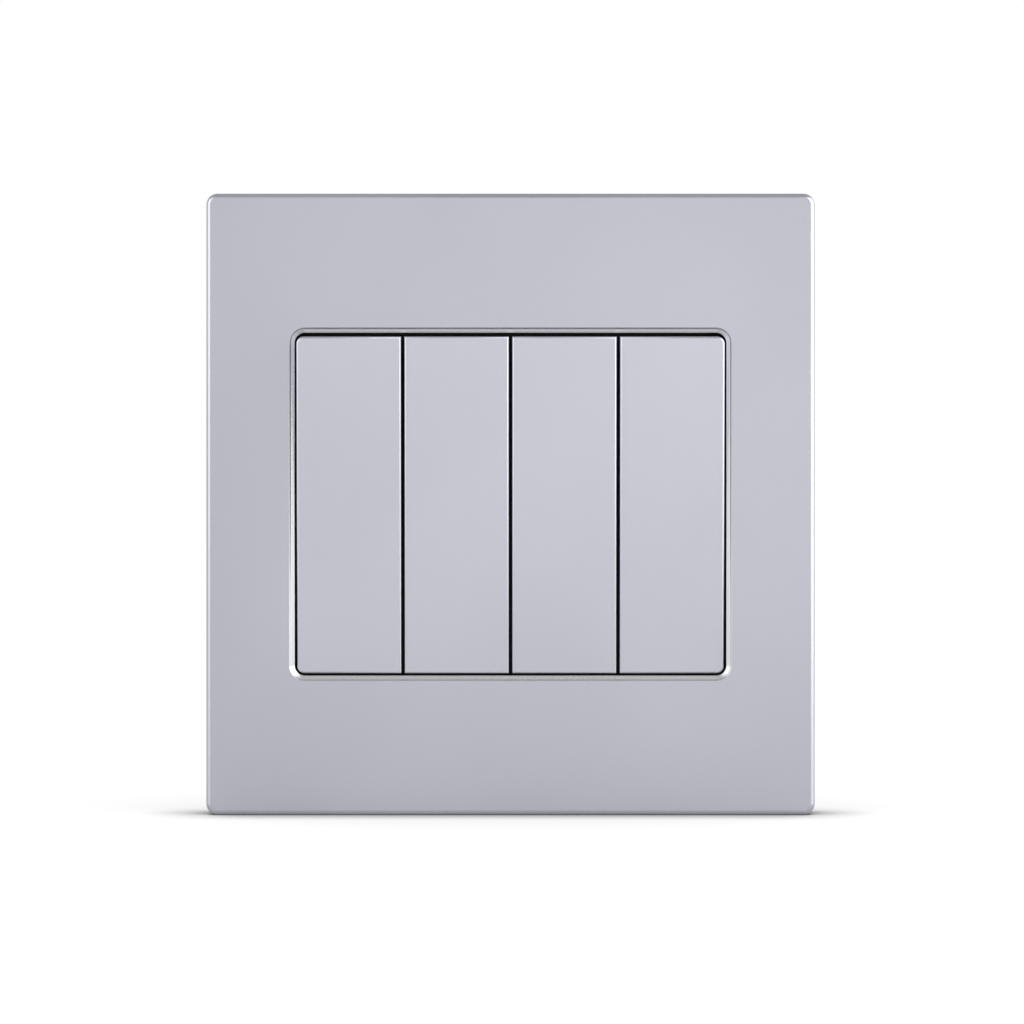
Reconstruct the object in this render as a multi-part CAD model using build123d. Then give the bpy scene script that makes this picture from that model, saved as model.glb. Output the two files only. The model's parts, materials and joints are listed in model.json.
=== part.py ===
from build123d import *
import math
import os

os.makedirs("parts", exist_ok=True)

# A four-gang light switch on a snap-fit wall plate, in millimetres.
# X runs to the right as seen from the room, Y runs into the wall and Z runs up.
# The origin is the middle of the two wall fixings, on the plane of the wall.

# Gangs and their keys
gang_count = 4
gang_pitch = 15.2
key_gap = 0.45
key_height = 47.6
key_proud = 0.3
key_face_thickness = 1.2
key_wall = 1.0
key_outer_corner_radius = 1.0
key_edge_radius = 0.3
key_rib_thickness = 0.8
key_rib_height = 1.0
key_rib_z = 16.0

# Front plate
side_border = 12.5
end_border = 19.68
plate_wall = 1.8
plate_corner_radius = 1.6
plate_edge_radius = 0.7
window_side_gap = 0.325
window_end_gap = 0.42
window_corner_radius = 1.45
rim_width = 0.72
rim_step_width = 0.2
rim_step_depth = 0.3
rim_depth = 0.42
pry_notch_width = 8.0
pry_notch_depth = 1.2

# Hooks that snap the plate on the frame, and the ribs that it stops on
hook_z = 20.0
hook_width = 6.0
hook_leg = 1.2
hook_barb = 0.6
hook_barb_height = 0.9
hook_play = 0.1
hook_side_clearance = 0.3
hook_inset = 3.0
stop_rib_thickness = 1.2
stop_rib_z = 9.0
stop_rib_x = 24.0

# Support frame
frame_edge_gap = 2.2
frame_thickness = 2.4
frame_corner_radius = 4.0
frame_rib_width = 1.2
frame_rib_height = 1.2
fixing_spacing = 60.3
fixing_hole_radius = 2.1
fixing_recess_radius = 4.2
fixing_recess_depth = 0.6
frame_fit = 0.3

# Mechanism cover
deck_thickness = 1.2
deck_flange = 1.2
shroud_wall = 1.0
shroud_clearance = 0.1
shroud_gap = 0.3
ear_thickness = 1.0
ear_top_gap = 0.4
ear_side_gap = 0.475
ear_clearance = 0.4
ear_chamfer = 0.8
skirt_gap = 0.35
hub_deck_gap = 0.3
stem_side_clearance = 0.6
stem_end_clearance = 1.9
boss_radius = 2.3
boss_height = 3.0

# Mechanism base
base_depth = 24.0
base_height = 45.0
base_wall = 1.6
base_corner_radius = 2.0
base_edge_chamfer = 0.8
partition_wall = 1.9
flange_overhang = 1.3
flange_thickness = 0.9
flange_setback = 0.1
column_radius = 3.0
column_cover = 0.3
boss_clearance = 0.2
pedestal_width = 4.0
wire_entry_width = 3.6
wire_entry_height = 3.4
access_clearance = 0.5

# Screws that hold cover and base together
screw_radius = 0.95
screw_passage_radius = 1.3
screw_head_radius = 2.0
screw_head_height = 1.5
screw_head_clearance = 0.3
screw_grip = 7.4
screw_engagement = 2.2
thread_clearance = 0.02
drive_slot_width = 0.6
drive_slot_depth = 0.8
drive_cross_length = 3.0

# Rocking action
pivot_depth = 3.3
rock_angle = 3.0
trunnion_radius = 1.0
bearing_clearance = 0.05
trunnion_end_clearance = 0.2

# Dolly
dolly_height = 17.2
dolly_plate_thickness = 1.2
hub_radius = 1.6
stem_width = 5.2
stem_length = 11.1
bore_depth = 8.6
clip_width = 6.0
clip_thickness = 0.8
clip_barb = 0.35
clip_barb_height = 0.5
clip_clearance = 0.1

# Plunger and its spring
plunger_radius = 1.5
plunger_clearance = 0.05
plunger_reach = 14.0
plunger_length = 6.0
nose_radius = 0.5
nose_height = 1.0
spring_wire = 0.4
spring_turns = 4
spring_bends_per_turn = 6
spring_side_clearance = 0.15
spring_end_clearance = 0.02

# Rocking blade and its contacts
blade_angle = 8.0
blade_pivot_y = 9.6
blade_width = 5.0
blade_thickness = 0.8
blade_short_arm = 5.0
blade_long_arm = 11.0
blade_end_rise = 0.5
blade_flat = 2.0
blade_ear_overhang = 0.6
blade_ear_width = 1.2
blade_play = 0.25
contact_z = 9.3
contact_half_width = 1.3
contact_height = 0.8
contact_play = 0.25

# Terminals
clamp_side_gap = 0.4
clamp_lap = 2.0
clamp_height = 6.0
clamp_end_gap = 0.5
clamp_edge_chamfer = 0.4
wire_mouth = 3.4
wire_mouth_depth = 7.0
wire_mouth_inset = 2.7
strip_thickness = 0.8
cheek_thickness = 0.6
cheek_clearance = 0.4
cheek_half_length = 3.0
cheek_rise = 1.6
notch_clearance = 0.3
notch_half_mouth = 1.8
clamp_screw_radius = 1.5
clamp_screw_rise = 1.8

# Widths and heights that follow
gang_centres = [gang_pitch * (n - (gang_count - 1) / 2) for n in range(gang_count)]
key_width = gang_pitch - key_gap
window_width = gang_count * gang_pitch - key_gap + 2 * window_side_gap
window_height = key_height + 2 * window_end_gap
plate_width = window_width + 2 * side_border
plate_height = window_height + 2 * end_border
frame_width = plate_width - 2 * (plate_wall + frame_edge_gap)
frame_height = plate_height - 2 * (plate_wall + frame_edge_gap)
chamber_width = gang_pitch - partition_wall
chamber_height = base_height - 2 * base_wall
base_width = (gang_count - 1) * gang_pitch + chamber_width + 2 * base_wall
dolly_width = key_width - 2 * (key_wall + ear_side_gap + ear_thickness + ear_clearance)
clamp_width = chamber_width - 2 * (column_radius - partition_wall / 2 + clamp_side_gap)

# Depths of the main faces, measured into the wall and stacked up from it
frame_front = -frame_thickness
frame_rib_front = frame_front - frame_rib_height
lip_rear = -flange_setback - flange_thickness
deck_rear = frame_front
deck_front = deck_rear - deck_thickness
pivot_y = deck_front - hub_deck_gap - hub_radius
key_front = pivot_y - pivot_depth
key_inside = key_front + key_face_thickness
key_travel = key_height / 2 * math.sin(math.radians(rock_angle))
key_rear = deck_front - skirt_gap - key_travel
plate_front = key_front + key_proud
plate_inside = plate_front + plate_wall
base_rear = deck_rear + base_depth
floor_y = base_rear - base_wall

# Places that follow
hook_x = frame_width / 2 - hook_inset
ledge_x = hook_x + hook_leg / 2 + hook_side_clearance / 2
ear_inner = dolly_width / 2 + ear_clearance
ear_radius = pivot_depth - key_face_thickness - ear_top_gap
boss_end = deck_rear + boss_height
column_z = base_height / 2 - column_cover - column_radius
columns = [Pos(0, -column_z), Pos(0, column_z)]

# The blade's front lies where the plunger's nose just clears it at rest, both of them tilted
rock = math.radians(rock_angle)
tilt = math.radians(blade_angle)
nose_y = pivot_y + plunger_reach * math.cos(rock) + nose_radius * math.sin(rock)
nose_z = plunger_reach * math.sin(rock) - nose_radius * math.cos(rock)
nose_distance = (blade_pivot_y - nose_y) * math.cos(tilt) + nose_z * math.sin(tilt)
blade_front = blade_pivot_y - (nose_distance - blade_play)
blade_back = blade_front + blade_thickness
moving_contact_face = blade_back - blade_end_rise * (contact_z - blade_flat) / (
    blade_long_arm - blade_flat
) + contact_height

# The fixed contact meets the moving one when the blade's long arm is down
fixed_contact_face = (
    blade_pivot_y
    + (moving_contact_face - blade_pivot_y) * math.cos(tilt)
    + (contact_z + contact_half_width) * math.sin(tilt)
    + contact_play
)
strip_front = fixed_contact_face + contact_height
strip_rear = strip_front + strip_thickness

clamp_outer_z = chamber_height / 2 - clamp_end_gap
clamp_inner_z = clamp_outer_z - clamp_height
clamp_front = strip_front - clamp_lap
clamp_axis_y = (clamp_front + floor_y) / 2
wire_z = clamp_inner_z + wire_mouth_inset


def slab(outline, front, back):
    """An outline drawn as seen from the room, made solid between two depths."""
    return extrude(Plane.XZ.offset(-back) * outline, amount=back - front)


def across(profile, start, end):
    """A side profile, drawn in depth and height, made solid from one X to another."""
    return extrude(Plane.YZ.offset(start) * profile, amount=end - start)


def upright(outline, low, high):
    """An outline seen from above, made solid between two heights."""
    return extrude(Plane.XY.offset(low) * outline, amount=high - low)


def side_face(points):
    """A closed side profile from its corners, each a depth and a height."""
    return make_face(Polyline(*points, close=True))


def key_outline(is_first, is_last):
    """The outline of a key, rounded where it meets the window's corners."""
    outline = Rectangle(key_width, key_height)
    if is_first:
        outline = fillet(outline.vertices().group_by(Axis.X)[0], key_outer_corner_radius)
    if is_last:
        outline = fillet(outline.vertices().group_by(Axis.X)[-1], key_outer_corner_radius)
    return outline


def key_clip():
    """One hooked leg behind the key that grips the upper end of the dolly's plate."""
    inner = dolly_height / 2 + clip_clearance
    catch = key_inside + dolly_plate_thickness + clip_clearance
    end = catch + clip_barb_height
    profile = side_face(
        [
            (key_inside, inner),
            (catch, inner),
            (catch, inner - clip_barb),
            (end, inner),
            (end, inner + clip_thickness),
            (key_inside, inner + clip_thickness),
        ]
    )
    return across(profile, -clip_width / 2, clip_width / 2)


def rocker_key(is_first, is_last):
    """A key: a thin moulded cap with a skirt, ribs and clips behind its face."""
    key = slab(key_outline(is_first, is_last), key_front, key_rear)
    key = fillet(key.faces().sort_by(Axis.Y)[0].edges(), key_edge_radius)
    key -= slab(
        Rectangle(key_width - 2 * key_wall, key_height - 2 * key_wall), key_inside, key_rear
    )
    rib = Rectangle(key_width - 2 * key_wall, key_rib_thickness)
    for side in (-1, 1):
        key += slab(Pos(0, side * key_rib_z) * rib, key_inside, key_inside + key_rib_height)
    clip = key_clip()
    return key + clip + mirror(clip, about=Plane.XY)


def dolly():
    """A dolly: a plate for the key, a hub with two trunnions and a stem bored for its plunger."""
    plate_end = key_inside + dolly_plate_thickness
    stem_end = pivot_y + stem_length
    hub_outline = Rectangle(dolly_width, 2 * hub_radius)
    trunnion_reach = ear_inner + ear_thickness - trunnion_end_clearance
    lever = slab(Rectangle(dolly_width, dolly_height), key_inside, plate_end)
    lever += slab(hub_outline, plate_end, pivot_y + hub_radius)
    lever += across(Pos(pivot_y, 0) * Circle(trunnion_radius), -trunnion_reach, trunnion_reach)
    lever += slab(Rectangle(stem_width, stem_width), plate_end, stem_end)
    bore = Circle(plunger_radius + plunger_clearance)
    return lever - slab(bore, stem_end - bore_depth, stem_end)


def plunger():
    """The plunger: a pin with a coned nose, which slides in the dolly's stem."""
    nose = pivot_y + plunger_reach
    outline = Polyline(
        (0, nose - plunger_length),
        (plunger_radius, nose - plunger_length),
        (plunger_radius, nose - nose_height),
        (nose_radius, nose),
        (0, nose),
        close=True,
    )
    return revolve(make_face(outline), axis=Axis.Y)


def plunger_spring():
    """The spring between the bore's end and the plunger, its coils wound in short straights."""
    end_space = spring_wire / 2 + spring_end_clearance
    start = pivot_y + stem_length - bore_depth + end_space
    end = pivot_y + plunger_reach - plunger_length - end_space
    coil_radius = plunger_radius - spring_wire / 2 - spring_side_clearance
    steps = spring_turns * spring_bends_per_turn
    turns = [math.tau * step / spring_bends_per_turn for step in range(steps + 1)]
    rise = (end - start) / (spring_turns * math.tau)
    coil = Polyline(
        *[(coil_radius * math.cos(a), start + rise * a, coil_radius * math.sin(a)) for a in turns]
    )
    wire = Plane(origin=coil @ 0, z_dir=coil % 0) * Rectangle(spring_wire, spring_wire)
    return sweep(wire, path=coil, transition=Transition.RIGHT)


def contact_tip():
    """The outline of a silver contact tip, cut square from strip."""
    return Pos(0, contact_z) * Rectangle(2 * contact_half_width, 2 * contact_half_width)


def blade():
    """The rocking blade: a shallow dished strip with side ears and a contact under its long arm."""
    fronts = [
        (blade_front - blade_end_rise, -blade_short_arm),
        (blade_front, -blade_flat),
        (blade_front, blade_flat),
        (blade_front - blade_end_rise, blade_long_arm),
    ]
    backs = [(y + blade_thickness, z) for y, z in reversed(fronts)]
    strip = across(side_face(fronts + backs), -blade_width / 2, blade_width / 2)
    ear_reach = blade_width / 2 + cheek_clearance + cheek_thickness + blade_ear_overhang
    ears = slab(Rectangle(2 * ear_reach, blade_ear_width), blade_front, blade_back)
    contact = slab(
        contact_tip(),
        moving_contact_face - contact_height - blade_thickness / 2,
        moving_contact_face,
    )
    return strip + ears + contact


def clamp():
    """A clamp block at the upper end of a chamber, with its wire mouth and screw hole."""
    block = slab(
        Pos(0, (clamp_outer_z + clamp_inner_z) / 2) * Rectangle(clamp_width, clamp_height),
        clamp_front,
        floor_y,
    )
    block = chamfer(block.edges().filter_by(Axis.Y), clamp_edge_chamfer)
    mouth = Pos(0, wire_z) * Rectangle(wire_mouth, wire_mouth)
    block -= slab(mouth, floor_y - wire_mouth_depth, floor_y)
    block -= upright(
        Pos(0, clamp_axis_y) * Circle(clamp_screw_radius + thread_clearance), wire_z, clamp_outer_z
    )
    return block


def switched_terminal():
    """The upper clamp, with a strip that carries the fixed contact."""
    strip_end = contact_z - contact_half_width
    strip = slab(
        Pos(0, (strip_end + clamp_inner_z) / 2) * Rectangle(blade_width, clamp_inner_z - strip_end),
        strip_front,
        strip_rear,
    )
    contact = slab(contact_tip(), fixed_contact_face, strip_front)
    return clamp() + strip + contact


def common_terminal():
    """The lower clamp, with a strip and two notched cheeks that the blade's ears rock in."""
    cheek_inner = blade_width / 2 + cheek_clearance
    outer = cheek_inner + cheek_thickness
    strip = slab(
        Pos(0, (cheek_half_length - clamp_inner_z) / 2)
        * Rectangle(2 * outer, clamp_inner_z + cheek_half_length),
        strip_front,
        strip_rear,
    )
    bottom = blade_back + notch_clearance
    half_bottom = blade_ear_width / 2 + notch_clearance
    mouth = blade_front - cheek_rise
    profile = side_face(
        [
            (strip_front, -cheek_half_length),
            (mouth, -cheek_half_length),
            (mouth, -notch_half_mouth),
            (bottom, -half_bottom),
            (bottom, half_bottom),
            (mouth, notch_half_mouth),
            (mouth, cheek_half_length),
            (strip_front, cheek_half_length),
        ]
    )
    cheeks = across(profile, cheek_inner, outer) + across(profile, -outer, -cheek_inner)
    return mirror(clamp(), about=Plane.XY) + strip + cheeks


def clamp_screw():
    """A headless clamp screw with a slot, backed out so that its wire mouth is free."""
    tip = wire_z + wire_mouth / 2
    top = clamp_outer_z + clamp_screw_rise
    screw = upright(Pos(0, clamp_axis_y) * Circle(clamp_screw_radius), tip, top)
    slot = Pos(0, clamp_axis_y) * Rectangle(2 * clamp_screw_radius, drive_slot_width)
    return screw - upright(slot, top - drive_slot_depth, top)


def assembly_screw():
    """A screw through a column of the base into a boss of the cover, with a cross in its head."""
    seat = boss_end + screw_grip
    screw = slab(Circle(screw_radius), boss_end - screw_engagement, seat)
    screw += slab(Circle(screw_head_radius), seat, seat + screw_head_height)
    top = seat + screw_head_height
    arm = Rectangle(drive_cross_length, drive_slot_width)
    return screw - slab(arm + Rot(0, 0, 90) * arm, top - drive_slot_depth, top)


def plate_hook():
    """One snap hook behind the plate, upper right, with its barb turned outwards."""
    catch = frame_front + frame_thickness / 2 + hook_play
    inner = hook_x - hook_leg / 2
    outer = hook_x + hook_leg / 2
    outline = make_face(
        Polyline(
            (inner, plate_inside),
            (outer, plate_inside),
            (outer, catch),
            (outer + hook_barb, catch),
            (outer, catch + hook_barb_height),
            (inner, catch + hook_barb_height),
            close=True,
        )
    )
    return upright(outline, hook_z - hook_width / 2, hook_z + hook_width / 2)


def on_four_corners(piece):
    """A piece of the upper right corner, repeated in the other three."""
    right = piece + mirror(piece, about=Plane.XY)
    return right + mirror(right, about=Plane.YZ)


def window_outline(growth):
    """The window's outline, made larger by the same amount all round."""
    return RectangleRounded(
        window_width + 2 * growth, window_height + 2 * growth, window_corner_radius + growth
    )


def front_plate():
    """The plate: one moulding with a stepped rim round its window, hooks and stop ribs behind."""
    plate = slab(
        RectangleRounded(plate_width, plate_height, plate_corner_radius), plate_front, 0
    )
    plate = fillet(plate.faces().sort_by(Axis.Y)[0].edges(), plate_edge_radius)
    inner_width = plate_width - 2 * plate_wall
    inner_height = plate_height - 2 * plate_wall
    plate -= slab(Rectangle(inner_width, inner_height), plate_inside, 0)
    plate -= slab(window_outline(0), plate_front, plate_inside)
    rim_face = Plane.XZ.offset(-plate_front) * window_outline(rim_width)
    rim_ledge = Plane.XZ.offset(-plate_front - rim_step_depth) * window_outline(rim_width - rim_step_width)
    rim_end = Plane.XZ.offset(-plate_front - rim_depth) * window_outline(0)
    plate -= [loft([rim_ledge, rim_face]), loft([rim_end, rim_ledge])]
    plate += on_four_corners(plate_hook())
    side_rib = (frame_width / 2 - frame_rib_width, inner_width / 2)
    end_rib = (frame_height / 2 - frame_rib_width, inner_height / 2)
    ribs = Pos(sum(side_rib) / 2, stop_rib_z) * Rectangle(side_rib[1] - side_rib[0], stop_rib_thickness)
    ribs += Pos(stop_rib_x, sum(end_rib) / 2) * Rectangle(stop_rib_thickness, end_rib[1] - end_rib[0])
    plate += on_four_corners(slab(ribs, plate_inside, frame_rib_front))
    notch = Pos(0, -plate_height / 2) * Rectangle(pry_notch_width, 2 * plate_wall)
    return plate - slab(notch, -pry_notch_depth, 0)


def support_frame():
    """The frame: a flat yoke with a raised edge, fixing holes, hook windows and a lip for the base."""
    outline = RectangleRounded(frame_width, frame_height, frame_corner_radius)
    inside = RectangleRounded(
        frame_width - 2 * frame_rib_width,
        frame_height - 2 * frame_rib_width,
        frame_corner_radius - frame_rib_width,
    )
    frame = slab(outline, frame_rib_front, 0) - slab(inside, frame_rib_front, frame_front)
    opening = RectangleRounded(
        base_width + 2 * frame_fit, base_height + 2 * frame_fit, base_corner_radius + frame_fit
    )
    rebate_growth = 2 * (flange_overhang + frame_fit)
    rebate = RectangleRounded(
        base_width + rebate_growth,
        base_height + rebate_growth,
        base_corner_radius + flange_overhang + frame_fit,
    )
    frame -= slab(opening, frame_front, 0) + slab(rebate, lip_rear, 0)
    for side in (-1, 1):
        place = Pos(0, side * fixing_spacing / 2)
        frame -= slab(place * Circle(fixing_hole_radius), frame_front, 0)
        recess_end = frame_front + fixing_recess_depth
        frame -= slab(place * Circle(fixing_recess_radius), frame_front, recess_end)
    window_inner = hook_x - hook_leg / 2 - hook_barb - hook_side_clearance
    pocket_outer = hook_x + hook_leg / 2 + hook_barb + hook_side_clearance
    width = hook_width + 2 * hook_side_clearance
    window = Pos((window_inner + ledge_x) / 2, hook_z) * Rectangle(ledge_x - window_inner, width)
    pocket = Pos((window_inner + pocket_outer) / 2, hook_z) * Rectangle(
        pocket_outer - window_inner, width
    )
    ledge_rear = frame_front + frame_thickness / 2
    cuts = slab(window, frame_front, 0) + slab(pocket, ledge_rear, 0)
    return frame - on_four_corners(cuts)


def bearing_ear(start):
    """A bearing ear on the deck, with its top corners cut off, from the given X."""
    top = pivot_y - ear_radius
    profile = side_face(
        [
            (deck_front, -ear_radius),
            (top + ear_chamfer, -ear_radius),
            (top, -ear_radius + ear_chamfer),
            (top, ear_radius - ear_chamfer),
            (top + ear_chamfer, ear_radius),
            (deck_front, ear_radius),
        ]
    )
    profile -= Pos(pivot_y, 0) * Circle(trunnion_radius + bearing_clearance)
    return across(profile, start, start + ear_thickness)


def mechanism_cover():
    """The cover: a deck with a shroud round the keys, bearing ears, stem apertures and screw bosses."""
    outer = shroud_clearance + shroud_wall
    shroud = window_outline(outer) - window_outline(shroud_clearance)
    deck = window_outline(outer + deck_flange)
    cover = slab(deck, deck_front, deck_rear)
    cover += slab(shroud, plate_inside + shroud_gap, deck_front)
    aperture = Rectangle(
        stem_width + 2 * stem_side_clearance, stem_width + 2 * stem_end_clearance
    )
    ears = bearing_ear(ear_inner) + bearing_ear(-ear_inner - ear_thickness)
    for x in gang_centres:
        cover -= slab(Pos(x, 0) * aperture, deck_front, deck_rear)
        cover += Pos(x, 0, 0) * ears
    for place in columns:
        cover += slab(place * Circle(boss_radius), deck_rear, boss_end)
        cover -= slab(place * Circle(screw_radius + thread_clearance), deck_rear, boss_end)
    return cover


def mechanism_base():
    """The base: a deep housing with a chamber for each gang, a flange, screw columns and openings."""
    outline = RectangleRounded(base_width, base_height, base_corner_radius)
    base = slab(outline, deck_rear, base_rear)
    base = chamfer(base.faces().sort_by(Axis.Y)[-1].edges(), base_edge_chamfer)
    flange = RectangleRounded(
        base_width + 2 * flange_overhang,
        base_height + 2 * flange_overhang,
        base_corner_radius + flange_overhang,
    )
    base += slab(flange, lip_rear, lip_rear + flange_thickness)
    chamber = Rectangle(chamber_width, chamber_height)
    base -= [slab(Pos(x, 0) * chamber, deck_rear, floor_y) for x in gang_centres]
    seat = boss_end + screw_grip
    for place in columns:
        base += slab(place * Circle(column_radius), deck_rear, floor_y)
        base -= slab(place * Circle(boss_radius + boss_clearance), deck_rear, boss_end)
        base -= slab(place * Circle(screw_passage_radius), boss_end, seat)
        base -= slab(place * Circle(screw_head_radius + screw_head_clearance), seat, base_rear)
    cradle_seat = Rectangle(pedestal_width, 2 * cheek_half_length)
    contact_seat = Pos(0, contact_z) * Rectangle(pedestal_width, 2 * contact_half_width)
    entry = Rectangle(wire_entry_width, wire_entry_height)
    access_width = 2 * (clamp_screw_radius + access_clearance)
    access = Rectangle(access_width, access_width)
    for x in gang_centres:
        base += slab(Pos(x, 0) * (cradle_seat + contact_seat), strip_rear, floor_y)
        base -= slab(Pos(x, wire_z) * entry + Pos(x, -wire_z) * entry, floor_y, base_rear)
        place = Pos(x, clamp_axis_y)
        base -= upright(place * access, chamber_height / 2, base_height / 2)
        base -= upright(place * access, -base_height / 2, -chamber_height / 2)
    return base


def rocked(piece):
    """A piece of the rocking action, tilted to its rest with the key's lower end pressed in."""
    return piece.rotate(Axis((0, pivot_y, 0), (1, 0, 0)), rock_angle)


def write(shape, node):
    """One sub-part goes to its own file."""
    export_step(shape, f"parts/{node}.step")


write(front_plate(), "front_plate")
write(support_frame(), "support_frame")
write(mechanism_cover(), "mechanism_cover")
write(mechanism_base(), "mechanism_base")

dolly_at_rest = rocked(dolly())
plunger_at_rest = rocked(plunger())
spring_at_rest = rocked(plunger_spring())
blade_at_rest = blade().rotate(Axis((0, blade_pivot_y, 0), (1, 0, 0)), -blade_angle)
common_clamp = common_terminal()
switched_clamp = switched_terminal()
clamp_screws = []
upper_screw = clamp_screw()
lower_screw = mirror(upper_screw, about=Plane.XY)

for number, x in enumerate(gang_centres, 1):
    key = rocked(rocker_key(number == 1, number == gang_count))
    write(Pos(x, 0, 0) * key, f"rocker_{number}")
    write(Pos(x, 0, 0) * dolly_at_rest, f"dolly_{number}")
    write(Pos(x, 0, 0) * plunger_at_rest, f"plunger_{number}")
    write(Pos(x, 0, 0) * spring_at_rest, f"plunger_spring_{number}")
    write(Pos(x, 0, 0) * blade_at_rest, f"contact_blade_{number}")
    write(Pos(x, 0, 0) * common_clamp, f"common_terminal_{number}")
    write(Pos(x, 0, 0) * switched_clamp, f"switched_terminal_{number}")
    clamp_screws += [Pos(x, 0, 0) * upper_screw, Pos(x, 0, 0) * lower_screw]

write(Compound(children=clamp_screws), "terminal_screws")
joining_screw = assembly_screw()
joining_screws = [Pos(0, 0, z) * joining_screw for z in (-column_z, column_z)]
write(Compound(children=joining_screws), "assembly_screws")
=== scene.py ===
import json
import math
import bmesh
import bpy
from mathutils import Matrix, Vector


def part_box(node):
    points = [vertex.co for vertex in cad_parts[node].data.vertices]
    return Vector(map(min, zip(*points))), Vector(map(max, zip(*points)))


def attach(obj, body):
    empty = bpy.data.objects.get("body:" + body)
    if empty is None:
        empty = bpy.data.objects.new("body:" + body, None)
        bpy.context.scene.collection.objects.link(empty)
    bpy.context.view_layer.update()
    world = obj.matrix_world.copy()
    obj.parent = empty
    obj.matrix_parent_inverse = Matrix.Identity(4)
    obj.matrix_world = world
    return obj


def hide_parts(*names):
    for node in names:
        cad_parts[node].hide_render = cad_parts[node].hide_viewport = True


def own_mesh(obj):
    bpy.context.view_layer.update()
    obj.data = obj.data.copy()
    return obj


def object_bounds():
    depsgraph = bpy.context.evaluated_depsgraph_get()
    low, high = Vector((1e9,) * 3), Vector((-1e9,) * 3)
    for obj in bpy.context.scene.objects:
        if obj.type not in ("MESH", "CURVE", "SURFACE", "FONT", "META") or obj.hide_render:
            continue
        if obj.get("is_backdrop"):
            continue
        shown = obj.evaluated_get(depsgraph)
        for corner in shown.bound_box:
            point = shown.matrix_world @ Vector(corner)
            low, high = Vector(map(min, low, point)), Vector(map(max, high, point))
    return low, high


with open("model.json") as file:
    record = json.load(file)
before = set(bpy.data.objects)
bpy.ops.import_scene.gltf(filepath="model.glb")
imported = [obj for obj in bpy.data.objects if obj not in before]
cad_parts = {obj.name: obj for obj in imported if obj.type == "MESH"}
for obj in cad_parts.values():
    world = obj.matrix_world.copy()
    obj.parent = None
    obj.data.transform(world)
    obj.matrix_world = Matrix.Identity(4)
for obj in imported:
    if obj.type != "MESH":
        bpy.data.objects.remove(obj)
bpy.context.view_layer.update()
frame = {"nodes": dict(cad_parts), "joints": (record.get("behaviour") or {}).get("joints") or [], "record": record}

plateLow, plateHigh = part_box("front_plate")
gangs = (1, 2, 3, 4)
bodyOf = {node: body for body, nodes in frame["record"]["behaviour"]["bodies"].items() for node in nodes}
print("frame loaded:", len(frame["nodes"]), "nodes")


# camera: square on, through a long lens
camera = {
    "lens": 149.4,         # mm
    "away": 0.6,           # m in front of the plate
    "toRight": 0.00021,    # m, so the plate stands a touch left of the middle
    "up": -0.0011,
}
cameraObject = bpy.data.objects.new("camera", bpy.data.cameras.new("camera"))
bpy.context.scene.collection.objects.link(cameraObject)
cameraObject.data.lens = camera["lens"]
cameraObject.data.clip_start = 0.01
cameraObject.location = (camera["toRight"], plateLow.y - camera["away"], camera["up"])
cameraObject.rotation_euler = (math.pi / 2, 0, 0)
bpy.context.scene.camera = cameraObject
bpy.context.scene.view_settings.view_transform = 'Standard'


# shader sums: a Wire is a socket that can be added, multiplied and compared
class Wire:
    def __init__(self, nodes, socket):
        self.nodes = nodes
        self.socket = socket

    def sum(self, operation, *values):
        return self.nodes.node("ShaderNodeMath", {"operation": operation}, dict(enumerate(values)))

    def __add__(self, other):
        return self.sum("ADD", self, other)

    def __radd__(self, other):
        return self.sum("ADD", other, self)

    def __sub__(self, other):
        return self.sum("SUBTRACT", self, other)

    def __rsub__(self, other):
        return self.sum("SUBTRACT", other, self)

    def __mul__(self, other):
        return self.sum("MULTIPLY", self, other)

    def __rmul__(self, other):
        return self.sum("MULTIPLY", other, self)

    def __truediv__(self, other):
        return self.sum("DIVIDE", self, other)

    def __rtruediv__(self, other):
        return self.sum("DIVIDE", other, self)

    def __pow__(self, other):
        return self.sum("POWER", self, other)

    def __abs__(self):
        return self.sum("ABSOLUTE", self)

    def atLeast(self, other):
        return self.sum("MAXIMUM", self, other)

    def atMost(self, other):
        return self.sum("MINIMUM", self, other)

    def leftover(self):    # the part after the point
        return self.sum("FRACT", self)

    def between(self, low, high, start=0.0, end=1.0):    # a smooth step from start to end
        values = {"Value": self, "From Min": low, "From Max": high, "To Min": start, "To Max": end}
        return self.nodes.node("ShaderNodeMapRange", {"interpolation_type": 'SMOOTHSTEP'}, values)


# a set of nodes, in a material or in a shape's tree
class Nodes:
    def node(self, kind, settings, values, output=None):
        made = self.tree.nodes.new(kind)
        for name, value in settings.items():
            setattr(made, name, value)
        for name, value in values.items():
            socket = made.inputs[name] if isinstance(name, int) else next(
                s for s in made.inputs if s.enabled and s.name == name)
            if isinstance(value, Wire):
                self.tree.links.new(value.socket, socket)
            else:
                socket.default_value = value
        outputs = [s for s in made.outputs if s.enabled]
        if output is None:
            return Wire(self, outputs[0])
        if isinstance(output, tuple):
            return [Wire(self, next(s for s in outputs if s.name == name)) for name in output]
        return Wire(self, next(s for s in outputs if s.name == output))

    def rays(self):    # 1 for the rays that come straight or through glass, and 1 for those off a gloss
        names = ("Is Camera Ray", "Is Transmission Ray", "Is Glossy Ray")
        camera, through, mirror = self.node("ShaderNodeLightPath", {}, {}, names)
        return camera.atLeast(through), mirror


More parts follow.
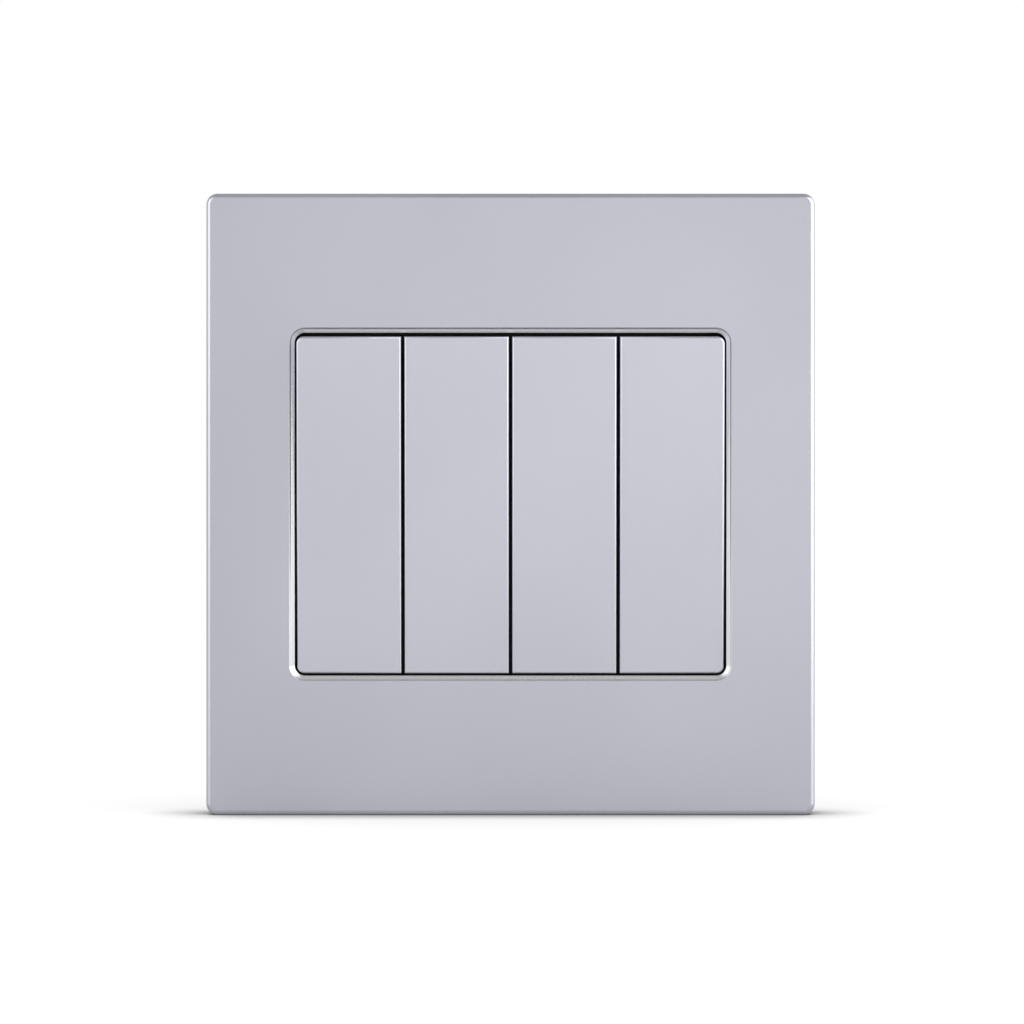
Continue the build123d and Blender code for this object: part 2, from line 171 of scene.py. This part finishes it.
# a finish is one material and the nodes in it
class Finish(Nodes):
    def __init__(self, name, viewport):
        self.material = bpy.data.materials.new(name)
        self.material.use_nodes = True
        self.material.diffuse_color = (*viewport, 1)
        self.tree = self.material.node_tree
        self.tree.nodes.clear()
        self.where = self.node("ShaderNodeTexCoord", {}, {}, "Object")

    def noise(self, size, detail=2.0, stretch=(1, 1, 1), roughness=0.5):    # size: one blotch, in metres
        stretched = self.node("ShaderNodeMapping", {}, {"Vector": self.where, "Scale": stretch})
        values = {"Vector": stretched, "Scale": 1 / size, "Detail": detail, "Roughness": roughness}
        return self.node("ShaderNodeTexNoise", {}, values)

    def grains(self, size):    # cells of about that size in metres, each with its own number
        values = {"Vector": self.where, "Scale": 1 / size}
        cells = self.node("ShaderNodeTexVoronoi", {}, values, "Color")
        return self.node("ShaderNodeSeparateXYZ", {}, {"Vector": cells}, "X")

    def openness(self, reach):    # 1 in the open, less where something stands close by
        return self.node("ShaderNodeAmbientOcclusion", {"samples": 8}, {"Distance": reach}, "AO")

    def mix(self, mask, first, second):    # from the first colour to the second
        shades = [s if isinstance(s, Wire) else (*s, 1) for s in (first, second)]
        values = {"Factor": mask, "A": shades[0], "B": shades[1]}
        return self.node("ShaderNodeMix", {"data_type": 'RGBA'}, values, "Result")

    def bump(self, height, depth, below=None):    # depth in metres for a height of 1
        values = {"Height": height, "Distance": depth}
        if below:
            values["Normal"] = below
        return self.node("ShaderNodeBump", {}, values)

    def attribute(self, name):
        return self.node("ShaderNodeAttribute", {"attribute_name": name}, {}, "Fac")

    def principled(self, **values):
        named = {name.replace("_", " "): value for name, value in values.items()}
        self.end(self.node("ShaderNodeBsdfPrincipled", {}, named))
        return self.material

    def end(self, surface):
        output = self.tree.nodes.new("ShaderNodeOutputMaterial")
        self.tree.links.new(surface.socket, output.inputs["Surface"])


# finishes, with all lengths in metres
paint = {
    "plate": {"silver": (0.462, 0.462, 0.520), "bright": (0.526, 0.526, 0.584)},
    # painted light: the keys' silver is a lighter copy of the plate's, so that the slightly tilted keys read
    # brighter than the plate
    "keys": {"silver": (0.518, 0.518, 0.580), "bright": (0.588, 0.588, 0.652)},
    "metallic": 0.80,
    "roughness": 0.32,
    "flakeSize": 0.00009, "flakeDepth": 0.0000004, "flakeTone": 0.22, "flakeRough": 0.05,
    "cloudSize": 0.03, "cloudTone": 0.30, "cloudRough": 0.06,
    "peelSize": 0.0011, "peelDepth": 0.0000012,
    "bare": (0.115, 0.115, 0.120),           # the moulding behind, where no paint reaches
    "bareRoughness": 0.55,
    "mistSize": 0.0006, "mistSpread": 0.4,   # how the paint thins out at its edge
    "rimTintAndPaintedSheen": (0.600, 0.600, 0.612),       # the stepped rim of the window is less blue, and lighter as a painted sheen
    "rimRoughness": 0.30,
    "rimWidth": 0.00074, "rimFade": 0.00005, "rimInner": (-0.00008, -0.00002),
    "window": (0.0305, 0.02422, 0.00145),    # half width, half height and corner radius
}


def silverPaint(name, shades, rimmed):
    finish = Finish(name, shades["silver"])
    flake = finish.grains(paint["flakeSize"])
    cloud = finish.noise(paint["cloudSize"], 1.0)
    peel = finish.noise(paint["peelSize"], 1.0)
    mask = flake * paint["flakeTone"] + cloud.between(0.35, 0.65) * paint["cloudTone"]
    tone = finish.mix(mask, shades["silver"], shades["bright"])
    rough = paint["roughness"] + (flake - 0.5) * paint["flakeRough"] + (cloud - 0.5) * paint["cloudRough"]
    if rimmed:
        # painted sheen on the rim: its colour is lighter than the plate's paint, as well as less blue
        rim = windowRim(finish)
        tone = finish.mix(rim, tone, paint["rimTintAndPaintedSheen"])
        rough = rough - rim * (paint["roughness"] - paint["rimRoughness"])
    mist = (finish.noise(paint["mistSize"], 2.0) - 0.5) * paint["mistSpread"]
    painted = (finish.attribute("painted") + mist).between(0.35, 0.65)
    uneven = finish.bump(peel, paint["peelDepth"])
    return finish.principled(
        Base_Color=finish.mix(painted, paint["bare"], tone),
        Metallic=painted * paint["metallic"],
        Roughness=rough * painted + (1 - painted) * paint["bareRoughness"],
        Normal=finish.bump(flake, paint["flakeDepth"], uneven),
    )


def windowRim(finish):    # 1 on the steps round the window and 0 elsewhere
    x, z = finish.node("ShaderNodeSeparateXYZ", {}, {"Vector": finish.where}, ("X", "Z"))
    halfWidth, halfHeight, corner = paint["window"]
    aside = (abs(x) - (halfWidth - corner)).atLeast(0)
    above = (abs(z) - (halfHeight - corner)).atLeast(0)
    fromWindow = (aside * aside + above * above) ** 0.5 - corner
    width, fade = paint["rimWidth"], paint["rimFade"]
    return fromWindow.between(width + fade, width - fade) * fromWindow.between(*paint["rimInner"])


mouldings = {
    "frame_plastic": {"shade": (0.050, 0.050, 0.055), "rough": 0.52, "grain": 0.00022, "depth": 0.000010},
    "cover_plastic": {"shade": (0.010, 0.010, 0.011), "rough": 0.60, "grain": 0.00016, "depth": 0.000006},
    "base_plastic": {"shade": (0.085, 0.086, 0.092), "rough": 0.50, "grain": 0.00030, "depth": 0.000014},
    "dolly_plastic": {"shade": (0.640, 0.635, 0.600), "rough": 0.38, "grain": 0.00050, "depth": 0.000003},
    "plunger_plastic": {"shade": (0.760, 0.740, 0.670), "rough": 0.28, "grain": 0.00060, "depth": 0.000002},
}
flow = {"length": 0.012, "width": 0.35, "blotch": 0.0025, "darker": 0.82, "lighter": 1.15}


def mouldedPlastic(name, values):
    finish = Finish(name, values["shade"])
    streak = finish.noise(flow["length"], 3.0, (1, 1, flow["width"]))    # soft, where the plastic flowed
    blotch = finish.noise(flow["blotch"], 2.0)
    grain = finish.noise(values["grain"], 3.0, roughness=0.7)            # the eroded grain of the mould
    mask = streak.between(0.35, 0.70) * 0.6 + blotch.between(0.4, 0.7) * 0.4
    darker = tuple(flow["darker"] * v for v in values["shade"])
    lighter = tuple(flow["lighter"] * v for v in values["shade"])
    return finish.principled(
        Base_Color=finish.mix(mask, darker, lighter),
        Roughness=values["rough"] + (streak - 0.5) * 0.10 + (grain - 0.5) * 0.16,
        Normal=finish.bump(grain, values["depth"]),
    )


wearSize = 0.0007
metals = {
    "brass": {
        "shade": (0.780, 0.560, 0.250), "stain": (0.480, 0.300, 0.130), "rough": 0.28,
        "grain": 0.00008, "along": (1, 1, 0.06), "stainSize": 0.004, "depth": 0.0000020,
    },
    "plated_steel": {
        "shade": (0.640, 0.625, 0.580), "stain": (0.560, 0.520, 0.400), "rough": 0.30,
        "grain": 0.00010, "along": (1, 1, 1), "stainSize": 0.0020, "depth": 0.0000015,
    },
    "spring_steel": {
        "shade": (0.560, 0.560, 0.570), "stain": (0.330, 0.310, 0.300), "rough": 0.26,
        "grain": 0.00006, "along": (1, 0.2, 1), "stainSize": 0.0016, "depth": 0.0000012,
    },
}


def rolledMetal(name, values):
    finish = Finish(name, values["shade"])
    lines = finish.noise(values["grain"], 2.0, values["along"])          # rolling or drawing marks
    stain = finish.noise(values["stainSize"], 4.0, roughness=0.6).between(0.42, 0.72)
    wear = finish.noise(wearSize, 3.0).between(0.45, 0.75)
    stained = finish.mix(stain * 0.55, values["shade"], values["stain"])
    lineShade = tuple(0.6 * v for v in values["shade"])
    return finish.principled(
        Base_Color=finish.mix(lines.between(0.3, 0.7) * 0.16, stained, lineShade),
        Metallic=1.0,
        Roughness=values["rough"] + stain * 0.14 + (lines - 0.5) * 0.12 + wear * 0.05,
        Normal=finish.bump(lines, values["depth"]),
    )


finishes = {
    "silver_paint": silverPaint("silver_paint", paint["plate"], True),
    # a lighter copy of the plate's paint for the keys: painted light
    "silver_paint_keys_painted_lighter": silverPaint("silver_paint_keys_painted_lighter", paint["keys"], False),
}
for name, values in mouldings.items():
    finishes[name] = mouldedPlastic(name, values)
for name, values in metals.items():
    finishes[name] = rolledMetal(name, values)
slotOf = {part["node"]: part["material_slot"] for part in frame["record"]["subparts"]}
for name, node in frame["nodes"].items():
    node.data.materials.clear()
    node.data.materials.append(finishes[slotOf[name]])
print("finishes:", ", ".join(finishes))


# mouldings: each copy has its loose triangles joined and a small radius on its sharp edges
mergeWithin = 0.000002             # m, for the corners of neighbouring triangles
flatWithin = math.radians(0.5)     # triangles that turn less than this become one face
sharpFrom = math.radians(40)       # an edge that turns more than this is sharp
edgeRadius = {
    "front_plate": 0.00005,
    "support_frame": 0.00018,
    "mechanism_cover": 0.00010,
    "mechanism_base": 0.00020,
    "rocker": 0.00006,
    "dolly": 0.00010,
    "contact_blade": 0.00005,
    "terminal": 0.00006,
}


def joinedCopy(name):
    shape = bmesh.new()
    shape.from_mesh(frame["nodes"][name].data)
    bmesh.ops.remove_doubles(shape, verts=shape.verts, dist=mergeWithin)
    bmesh.ops.dissolve_limit(shape, angle_limit=flatWithin, verts=shape.verts, edges=shape.edges)
    return shape


def asPiece(shape, name, finish):
    mesh = bpy.data.meshes.new(name)
    shape.to_mesh(mesh)
    shape.free()
    piece = bpy.data.objects.new(name, mesh)
    bpy.context.scene.collection.objects.link(piece)
    mesh.materials.append(finishes[finish])
    return piece


def evaluated(piece):    # the modifiers' result, as a plain mesh on the same object
    bpy.context.view_layer.update()
    graph = bpy.context.evaluated_depsgraph_get()
    source = piece.evaluated_get(graph)
    mesh = bpy.data.meshes.new_from_object(source, preserve_all_data_layers=True, depsgraph=graph)
    piece.modifiers.clear()
    piece.data = mesh
    return piece


def soften(piece, radius):
    piece.data.shade_smooth()
    rounding = piece.modifiers.new("rounding", 'BEVEL')
    rounding.width = radius
    rounding.segments = 2
    rounding.limit_method = 'ANGLE'
    rounding.angle_limit = sharpFrom
    rounding.use_clamp_overlap = True
    weighting = piece.modifiers.new("weighting", 'WEIGHTED_NORMAL')
    weighting.weight = 80
    return evaluated(piece)


def standFor(piece, node):
    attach(piece, bodyOf[node])
    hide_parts(node)


def dressed(node, radius, painted=None, finish=None):
    shape = joinedCopy(node)
    if painted:
        layer = shape.faces.layers.float.new("painted")
        for face in shape.faces:
            face[layer] = 1.0 if painted(face) else 0.0
    piece = soften(asPiece(shape, node + "_moulding", finish or slotOf[node]), radius)
    standFor(piece, node)
    return piece


spray = {
    "plateSides": 0.0006,    # how far in from its outline the plate is painted, and how deep
    "plateDepth": 0.0017,
    "keySide": 0.0070,       # outside of these half sizes it's the key's skirt
    "keyEnd": 0.0231,
    "keyDepth": 0.0031,
}


def plateSidePainted(face):    # the front, the outer sides and the window's rim take paint
    place = face.calc_center_median()
    inset = spray["plateSides"]
    outside = abs(place.x) > plateHigh.x - inset or abs(place.z) > plateHigh.z - inset
    return outside or place.y < plateLow.y + spray["plateDepth"] and face.normal.y <= 0.5


def keyFacePainted(low, high):    # the face and the skirt's outside, not the ribs and clips behind
    def painted(face):
        place = face.calc_center_median()
        sideways = place.x - (low.x + high.x) / 2
        sides = abs(sideways) > spray["keySide"] and face.normal.x * sideways > 0.3 * abs(sideways)
        ends = abs(place.z) > spray["keyEnd"] and face.normal.z * place.z > 0.7 * abs(place.z)
        front = face.normal.y < -0.3 and place.y < low.y + spray["keyDepth"]
        return front or sides or ends
    return painted


dressed("front_plate", edgeRadius["front_plate"], plateSidePainted)
for node in ("support_frame", "mechanism_cover", "mechanism_base"):
    dressed(node, edgeRadius[node])
for gang in gangs:
    low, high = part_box(f"rocker_{gang}")
    dressed(f"rocker_{gang}", edgeRadius["rocker"], keyFacePainted(low, high), "silver_paint_keys_painted_lighter")
    dressed(f"dolly_{gang}", edgeRadius["dolly"])
    dressed(f"contact_blade_{gang}", edgeRadius["contact_blade"])
    dressed(f"common_terminal_{gang}", edgeRadius["terminal"])
    dressed(f"switched_terminal_{gang}", edgeRadius["terminal"])
print("mouldings dressed")


# a shape is a node tree with named sizes
class Shape(Nodes):
    def __init__(self, name, sizes):
        self.tree = bpy.data.node_groups.new(name, 'GeometryNodeTree')
        self.tree.interface.new_socket("Geometry", in_out='INPUT', socket_type='NodeSocketGeometry')
        for size, value in sizes.items():
            kind = 'NodeSocketInt' if isinstance(value, int) else 'NodeSocketFloat'
            self.tree.interface.new_socket(size, in_out='INPUT', socket_type=kind)
        self.tree.interface.new_socket("Geometry", in_out='OUTPUT', socket_type='NodeSocketGeometry')
        self.places, *self.sizes = self.node("NodeGroupInput", {}, {}, ("Geometry", *sizes))

    def vector(self, x, y, z):
        return self.node("ShaderNodeCombineXYZ", {}, {"X": x, "Y": y, "Z": z})

    def onPlaces(self, parts, finish):    # one at each point, along its axis
        joined = self.tree.nodes.new("GeometryNodeJoinGeometry")
        for part in reversed(parts):
            self.tree.links.new(part.socket, joined.inputs[0])
        piece = Wire(self, joined.outputs[0])
        axis = self.node("GeometryNodeInputNamedAttribute", {"data_type": 'FLOAT_VECTOR'}, {"Name": "axis"})
        turned = self.node("FunctionNodeAlignRotationToVector", {"axis": 'Z'}, {"Vector": axis})
        placed = self.node("GeometryNodeInstanceOnPoints", {},
                           {"Points": self.places, "Instance": piece, "Rotation": turned})
        whole = self.node("GeometryNodeRealizeInstances", {}, {"Geometry": placed})
        coated = self.node("GeometryNodeSetMaterial", {}, {"Geometry": whole, "Material": finishes[finish]})
        self.node("NodeGroupOutput", {}, {"Geometry": coated}, ())


def grown(name, shape, sizes, places, finish):    # places are pairs of a point and an axis
    base = bmesh.new()
    axis = base.verts.layers.float_vector.new("axis")
    for point, direction in places:
        base.verts.new(point)[axis] = direction
    piece = asPiece(base, name, finish)
    growth = piece.modifiers.new("growth", 'NODES')
    growth.node_group = shape.tree
    for item in shape.tree.interface.items_tree:
        if item.name in sizes:
            growth[item.identifier] = sizes[item.name]
    evaluated(piece)
    piece.data.shade_smooth()
    piece.data.set_sharp_from_angle(angle=sharpFrom)
    return piece


# screws: each stands on its tip; Columns is how many faces go round it
clampScrew = {
    "Shank Radius": 0.0015, "Shank Length": 0.0034, "Thread Pitch": 0.0005, "Thread Depth": 0.00016,
    "Slot Width": 0.0006, "Slot Depth": 0.0008, "Columns": 28,
}
joiningScrew = {
    "Shank Radius": 0.00095, "Shank Length": 0.0096, "Thread Pitch": 0.0008, "Thread Depth": 0.00022,
    "Slot Width": 0.0008, "Slot Depth": 0.0010, "Columns": 28,
    "Head Radius": 0.0020, "Head Height": 0.0015, "Cross Length": 0.0026, "Cross Taper": 0.5,
}


class Screw(Shape):
    def rod(self, radius, length, rings):    # and the place of each of its points, with its foot at 0
        sizes = {"Vertices": self.columns, "Side Segments": rings, "Radius": radius, "Depth": length}
        rod = self.node("GeometryNodeMeshCylinder", {"fill_type": 'NGON'}, sizes, "Mesh")
        place = self.node("GeometryNodeInputPosition", {}, {})
        x, y, z = self.node("ShaderNodeSeparateXYZ", {}, {"Vector": place}, ("X", "Y", "Z"))
        return rod, x, y, z + length / 2

    def moved(self, mesh, x, y, z):
        place = self.vector(x, y, z)
        return self.node("GeometryNodeSetPosition", {}, {"Geometry": mesh, "Position": place})

    def shank(self, radius, length, pitch, depth, bare):    # bare: turns without thread under the head
        rod, x, y, height = self.rod(radius, length, length / pitch * 8)
        around = y.sum("ARCTAN2", y, x) / math.tau
        groove = abs((height / pitch - around).leftover() * 2 - 1)    # 1 in the groove, 0 on the crest
        leadIn = (height / pitch).between(0.0, 1.5, 0.82, 1.0)        # the tip is narrower
        fade = ((length - height) / pitch).between(bare - 0.5, bare + 1.0)
        width = (1 - groove * fade * depth / radius) * leadIn
        return self.moved(rod, x * width, y * width, height)

    def head(self, radius, height, under):
        rod, x, y, rise = self.rod(radius, height, 8)
        width = 1 - (rise / height) ** 8 * 0.10                       # its upper edge is rounded
        return self.moved(rod, x * width, y * width, rise + under)

    def cut(self, mesh, length, width, depth, top, taper):    # taper: how much it narrows to its floor
        box = self.node("GeometryNodeMeshCube", {}, {"Size": self.vector(length, width, depth * 2)}, "Mesh")
        place = self.node("GeometryNodeInputPosition", {}, {})
        x, y, z = self.node("ShaderNodeSeparateXYZ", {}, {"Vector": place}, ("X", "Y", "Z"))
        flare = 1 + z / depth * taper
        tool = self.moved(box, x * flare, y * flare, z + top)
        return self.node("GeometryNodeMeshBoolean", {"operation": 'DIFFERENCE', "solver": 'EXACT'},
                         {"Mesh 1": mesh, "Mesh 2": tool}, "Mesh")


def slottedScrew():    # no head: its slot is cut in the shank's end
    screw = Screw("slotted_screw", clampScrew)
    radius, length, pitch, depth, slotWidth, slotDepth, screw.columns = screw.sizes
    shank = screw.shank(radius, length, pitch, depth, 0)
    screw.onPlaces([screw.cut(shank, radius * 3, slotWidth, slotDepth, length, 0)], "plated_steel")
    return screw


def crossedScrew():
    screw = Screw("crossed_screw", joiningScrew)
    (radius, length, pitch, depth, slotWidth, slotDepth, screw.columns,
     headRadius, headHeight, crossLength, taper) = screw.sizes
    shank = screw.shank(radius, length, pitch, depth, 1)
    head = screw.head(headRadius, headHeight, length)
    for size in ((crossLength, slotWidth), (slotWidth, crossLength)):
        head = screw.cut(head, *size, slotDepth, length + headHeight, taper)
    screw.onPlaces([shank, head], "plated_steel")
    return screw


screwLow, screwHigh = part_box("terminal_screws")
screwY = (screwLow.y + screwHigh.y) / 2
tip = screwHigh.z - clampScrew["Shank Length"]
places = []
for gang in gangs:
    low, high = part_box(f"switched_terminal_{gang}")
    for side in (-1, 1):
        places.append((((low.x + high.x) / 2, screwY, side * tip), (0, 0, side)))
standFor(grown("clamp_screws", slottedScrew(), clampScrew, places, "plated_steel"), "terminal_screws")

joinLow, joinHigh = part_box("assembly_screws")
screwZ = joinHigh.z - joiningScrew["Head Radius"]
places = [((0, joinLow.y, side * screwZ), (0, 1, 0)) for side in (-1, 1)]
standFor(grown("joining_screws", crossedScrew(), joiningScrew, places, "plated_steel"), "assembly_screws")


# springs: closed turns at both ends and open ones between
coil = {
    "Wire": 0.0004, "Coil Radius": 0.00115, "Length": 0.00506, "Turns": 6.0, "Steps": 150, "Sides": 8,
}
coilStart = 0.00272    # from the pivot along the lever


def springShape():
    shape = Shape("coil_spring", coil)
    wire, radius, length, turns, steps, sides = shape.sizes
    line = shape.node("GeometryNodeCurvePrimitiveLine", {}, {})
    line = shape.node("GeometryNodeResampleCurve", {}, {"Curve": line, "Count": steps})
    along = shape.node("GeometryNodeSplineParameter", {}, {}, "Factor") * turns
    closed = along.atMost(1) * wire + (along - turns + 1).atLeast(0) * wire
    opened = ((along - 1) / (turns - 2)).atLeast(0).atMost(1) * (length - wire * 2)
    angle = along * math.tau
    path = shape.vector(angle.sum("COSINE", angle) * radius, angle.sum("SINE", angle) * radius, closed + opened)
    line = shape.node("GeometryNodeSetPosition", {}, {"Geometry": line, "Position": path})
    section = shape.node("GeometryNodeCurvePrimitiveCircle", {},
                         {"Resolution": sides, "Radius": wire / 2}, "Curve")
    tube = shape.node("GeometryNodeCurveToMesh", {},
                      {"Curve": line, "Profile Curve": section, "Fill Caps": True})
    shape.onPlaces([tube], "spring_steel")
    return shape


springs = springShape()
for joint in frame["joints"]:
    if joint["name"].startswith("rocker_"):
        gang = joint["name"].split("_")[1]
        pivot = Vector(joint["pos_m"])
        slide = next(j for j in frame["joints"] if j["name"] == f"plunger_{gang}_slide")
        axis = -Vector(slide["axis"]).normalized()
        start = pivot + axis * coilStart
        spring = grown(f"plunger_spring_{gang}_coil", springs, coil, [(start, axis)], "spring_steel")
        standFor(spring, f"plunger_spring_{gang}")
        travel = abs(slide["range_m"][1] - slide["range_m"][0])
        1 - travel / coil["Length"]
        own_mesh(spring)
print("screws and springs grown")


# floor and light
room = {
    "floorSize": 6,
    "floorShade": (0.82, 0.82, 0.82),
    "mottle": 0.985, "mottleSize": 0.05,
    "seenShade": 0.12,                          # the floor for the camera, so that it reads white
    "seenGlow": 0.98,
    "mirroredShade": 0.25,                      # and as the object's gloss shows it
    "mirroredGlow": 0.72,
    "paintedShadows": ((0.010, 1.2), (0.060, 0.3)),    # painted shadow under the plate, in the floor's colour and glow: reach in metres and depth
    "mirroredReach": 0.12,                      # the same painted shadow, in the object's gloss
    "around": 0.26,                             # how strongly the white room lights the object
    "overhead": 0.55,                           # the ceiling in the gloss, beside walls of 1
    "overheadFrom": 0.15, "overheadTo": 0.75,
    "behindCamera": 0.60,                       # and the end behind the camera
    "behindFrom": -0.3, "behindTo": -0.9,
}
panels = {
    "panel_right": {"at": (0.55, -0.30, 0.18), "size": (0.95, 0.7), "watts": 5.9},
    "panel_left": {"at": (-0.48, -0.42, 0.18), "size": (0.60, 0.6), "watts": 2.1},
    "panel_front": {"at": (0.035, -0.95, 0.060), "size": (0.26, 0.26), "watts": 0.23},
}


def grey(level):
    return (level, level, level)


def makeFloor():
    shape = bmesh.new()
    bmesh.ops.create_grid(shape, x_segments=1, y_segments=1, size=room["floorSize"])
    bmesh.ops.translate(shape, vec=(0, 0, plateLow.z), verts=shape.verts)
    finish = Finish("floor_white", room["floorShade"])
    mottled = tuple(room["mottle"] * v for v in room["floorShade"])
    plain = finish.mix(finish.noise(room["mottleSize"], 2.0), mottled, room["floorShade"])
    (near, nearDepth), (far, farDepth) = room["paintedShadows"]
    # painted shadow: the floor's colour and glow darken where the plate stands close
    unshaded = finish.openness(near) ** nearDepth * finish.openness(far) ** farDepth
    seen, mirrored = finish.rays()
    mirroredOpen = mirrored * finish.openness(room["mirroredReach"])
    shades = finish.mix(mirrored, plain, grey(room["mirroredShade"]))
    shades = finish.mix(seen, shades, finish.mix(unshaded, grey(0), grey(room["seenShade"])))
    # the glow that the gloss sees is darkened near the plate as well: painted shade
    glows = finish.mix(mirroredOpen, grey(0), grey(room["mirroredGlow"]))
    glows = finish.mix(seen, glows, finish.mix(unshaded, grey(0), grey(room["seenGlow"])))
    lit = finish.node("ShaderNodeBsdfDiffuse", {}, {"Color": shades})
    glowing = finish.node("ShaderNodeEmission", {}, {"Color": glows})
    finish.end(finish.node("ShaderNodeAddShader", {}, {0: lit, 1: glowing}))
    finishes["floor_white"] = finish.material
    floor = asPiece(shape, "floor", "floor_white")
    floor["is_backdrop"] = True


def makeRoom():
    world = bpy.data.worlds.new("white_room")
    world.use_nodes = True
    bpy.context.scene.world = world
    sky = Nodes()
    sky.tree = world.node_tree
    sky.tree.nodes.clear()
    seen, mirrored = sky.rays()
    direction = sky.node("ShaderNodeTexCoord", {}, {}, "Generated")
    back, rise = sky.node("ShaderNodeSeparateXYZ", {}, {"Vector": direction}, ("Y", "Z"))
    ceiling = rise.between(room["overheadFrom"], room["overheadTo"], 1.0, room["overhead"])
    behind = back.between(room["behindTo"], room["behindFrom"], room["behindCamera"], 1.0)
    level = seen.atLeast(mirrored * ceiling * behind).atLeast(room["around"])
    background = sky.node("ShaderNodeBackground", {}, {"Color": (1, 1, 1, 1), "Strength": level})
    output = sky.tree.nodes.new("ShaderNodeOutputWorld")
    sky.tree.links.new(background.socket, output.inputs["Surface"])


def makePanels():
    middle = Vector((0, plateLow.y, 0))
    for name, values in panels.items():
        light = bpy.data.lights.new(name, 'AREA')
        light.shape = 'RECTANGLE'
        light.size, light.size_y = values["size"]
        light.energy = values["watts"]
        panel = bpy.data.objects.new(name, light)
        bpy.context.scene.collection.objects.link(panel)
        panel.location = values["at"]
        panel.rotation_euler = (middle - panel.location).to_track_quat('-Z', 'Y').to_euler()


makeFloor()
makeRoom()
makePanels()
print("floor and light ready")

low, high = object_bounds()
